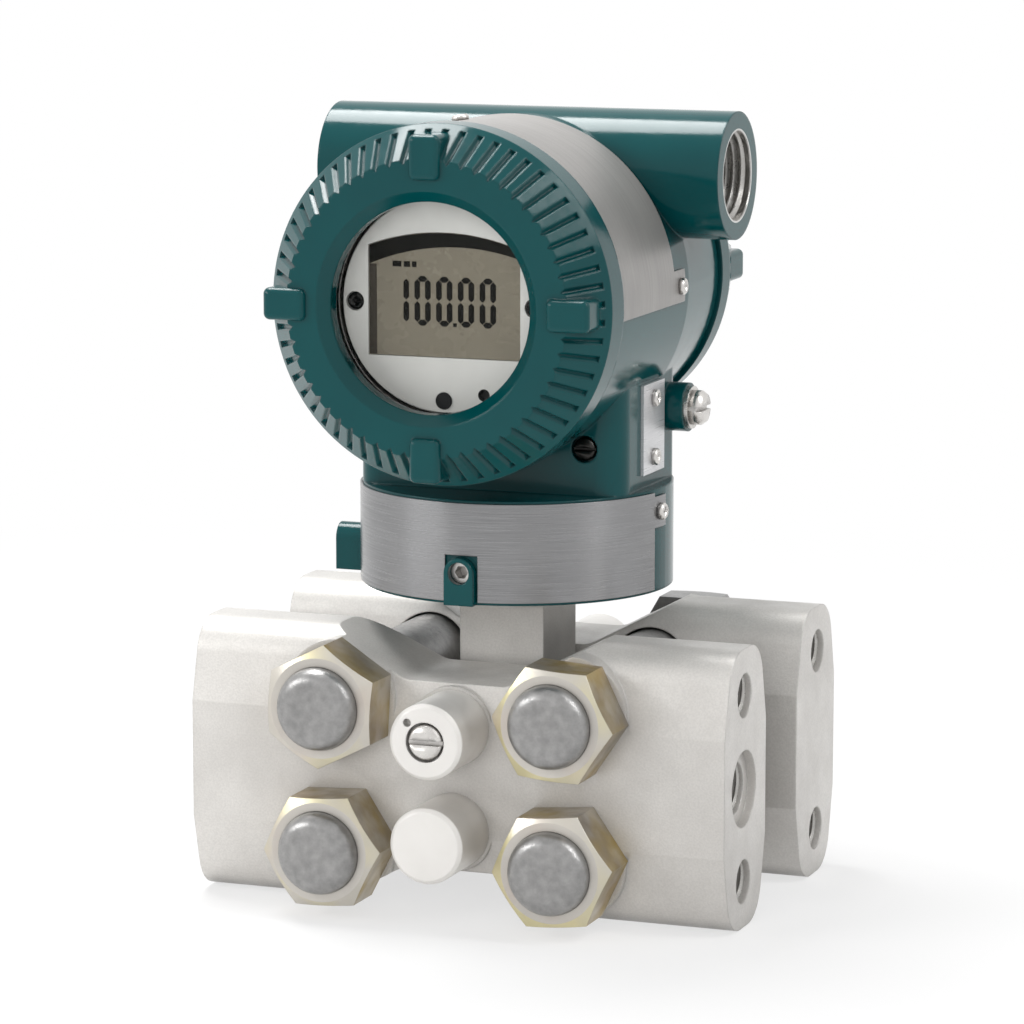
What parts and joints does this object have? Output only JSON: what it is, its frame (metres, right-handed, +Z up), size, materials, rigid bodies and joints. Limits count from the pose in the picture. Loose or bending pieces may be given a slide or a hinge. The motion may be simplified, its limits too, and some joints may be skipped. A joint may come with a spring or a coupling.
{
  "type": "gauge pressure transmitter",
  "caption": "Field pressure transmitter: round display head with screwed covers and a conduit tube, swivelling on a capsule clamped between two bolted steel flanges with a process port.",
  "frame": {"origin": "bottom centre of the whole transmitter: midway between the flanges and below the neck, level with the undersides of the flanges", "axes": "+X along the flanges and the conduit tube, out of the process port; -Y out of the display; +Z up along the neck"},
  "size_m": [0.125, 0.1151, 0.175],
  "materials": {
    "flange_steel": "satin",
    "bolt_steel": "satin",
    "nut_steel": "satin",
    "small_steel": "satin",
    "plate_steel": "satin",
    "teal_paint": "gloss",
    "bezel_plastic": "matte",
    "lcd": "gloss",
    "dark_plastic": "matte",
    "board": "satin",
    "brass": "satin",
    "white_gasket": "matte",
    "seal_rubber": "matte",
    "window_glass": "gloss"
  },
  "bodies": {
    "capsule_assembly": {"high_side_flange": "flange_steel", "low_side_flange": "flange_steel", "flange_bolts": "bolt_steel", "flange_nuts": "nut_steel", "vent_plug": "flange_steel", "drain_plug": "flange_steel", "low_side_plugs": "flange_steel", "capsule_body": "flange_steel", "high_side_diaphragm": "small_steel", "low_side_diaphragm": "small_steel", "high_side_gasket": "white_gasket", "low_side_gasket": "white_gasket", "sensor_element": "small_steel", "sensor_lead": "dark_plastic", "neck_seal_ring": "seal_rubber"},
    "head": {"amplifier_housing": "teal_paint", "collar_band": "plate_steel", "collar_band_screws": "small_steel", "barrel_plate": "plate_steel", "barrel_plate_screws": "small_steel", "tag_plate": "plate_steel", "tag_plate_screws": "small_steel", "ground_screw": "small_steel", "ground_washer": "small_steel", "locking_setscrews": "small_steel", "conduit_plug": "small_steel", "terminal_block": "dark_plastic", "terminal_block_screws": "small_steel", "terminal_screws": "small_steel", "terminal_clamps": "brass", "feedthrough_pins": "brass", "electronics_case": "dark_plastic", "main_board": "board", "indicator_bezel": "bezel_plastic", "lcd_panel": "lcd", "indicator_screws": "small_steel"},
    "display_seal": {"display_cover_seal": "seal_rubber"},
    "display_cover": {"display_cover": "teal_paint", "window_gasket": "seal_rubber", "window_glass": "window_glass", "window_retainer": "small_steel"},
    "terminal_seal": {"terminal_cover_seal": "seal_rubber"},
    "terminal_cover": {"terminal_cover": "teal_paint"},
    "zero_screw": {"zero_adjust_screw": "small_steel"},
    "vent_screw": {"vent_screw": "small_steel"},
    "range_button": {"range_button": "dark_plastic"}
  },
  "joints": [
    {"name": "head_swivel", "type": "hinge", "parent": "capsule_assembly", "child": "head", "pos_m": [0, 0, 0.08], "axis": [0, 0, 1], "range_deg": [-180, 180]},
    {"name": "display_cover_travel", "type": "slide", "parent": "head", "child": "display_seal", "axis": [0, -1, 0], "range_m": [0, 0.0101]},
    {"name": "display_cover_turn", "type": "hinge", "parent": "display_seal", "child": "display_cover", "pos_m": [0, -0.05, 0.136], "axis": [0, -1, 0], "range_deg": [0, 1800]},
    {"name": "terminal_cover_travel", "type": "slide", "parent": "head", "child": "terminal_seal", "axis": [0, 1, 0], "range_m": [0, 0.0101]},
    {"name": "terminal_cover_turn", "type": "hinge", "parent": "terminal_seal", "child": "terminal_cover", "pos_m": [0, 0.045, 0.136], "axis": [0, 1, 0], "range_deg": [0, 1800]},
    {"name": "zero_screw_turn", "type": "hinge", "parent": "head", "child": "zero_screw", "pos_m": [0.023, -0.02, 0.1024], "axis": [0, -1, 0], "continuous": true},
    {"name": "vent_screw_turn", "type": "hinge", "parent": "capsule_assembly", "child": "vent_screw", "pos_m": [0, -0.055, 0.0425], "axis": [0, -1, 0], "range_deg": [0, 720]},
    {"name": "range_button_press", "type": "slide", "parent": "head", "child": "range_button", "axis": [0, 1, 0], "range_m": [0, 0.001], "stiffness_N_per_m": 300}
  ],
  "couplings": [
    {"joint": "display_cover_travel", "follows": "display_cover_turn", "m_per_rad": 0.00031831},
    {"joint": "terminal_cover_travel", "follows": "terminal_cover_turn", "m_per_rad": 0.00031831}
  ]
}
